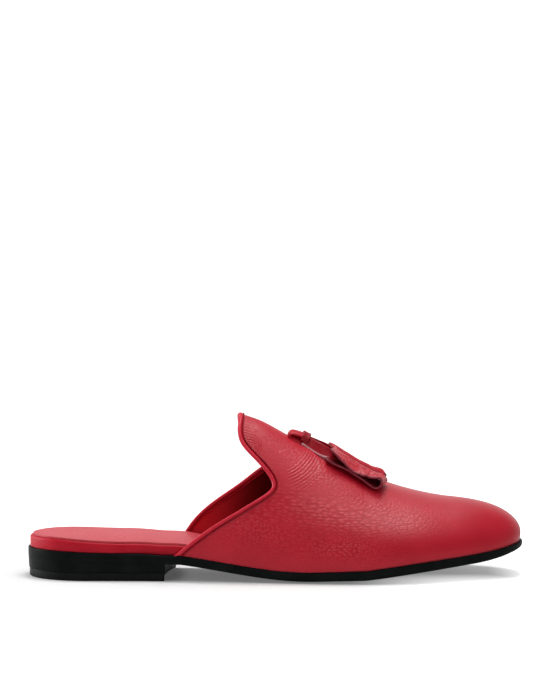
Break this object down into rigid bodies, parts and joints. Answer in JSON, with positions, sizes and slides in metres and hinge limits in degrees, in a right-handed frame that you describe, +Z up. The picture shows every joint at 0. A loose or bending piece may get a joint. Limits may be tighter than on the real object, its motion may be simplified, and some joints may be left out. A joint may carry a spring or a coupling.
{
  "type": "backless tassel loafer",
  "caption": "Backless leather loafer for a right foot: hollow vamp with a raised tongue, piped topline and tassels, on a wrapped insole, thin cupped sole and low heel.",
  "frame": {"origin": "on the floor, under the middle of the shoe's box", "axes": "+X towards the toe, +Y towards the inner side of the right foot, +Z up"},
  "size_m": [0.298, 0.1014, 0.0976],
  "materials": {
    "red_grain": "pebbled, satin",
    "red_smooth": "smooth, satin",
    "red_sock": "smooth, matt",
    "black_edge": "inked and polished",
    "black_rubber": "matt"
  },
  "bodies": {
    "root": {"outsole": "black_edge", "heel_stack": "black_edge", "heel_top_lift": "black_rubber", "insole": "red_smooth", "sock_lining": "red_sock", "upper": "red_grain", "topline_piping": "red_smooth", "tassel_loop": "red_smooth", "tassel_keeper": "red_smooth", "tassel_strap_lateral": "red_smooth", "tassel_strap_medial": "red_smooth", "tassel_lateral": "red_grain", "tassel_medial": "red_grain"}
  },
  "joints": []
}
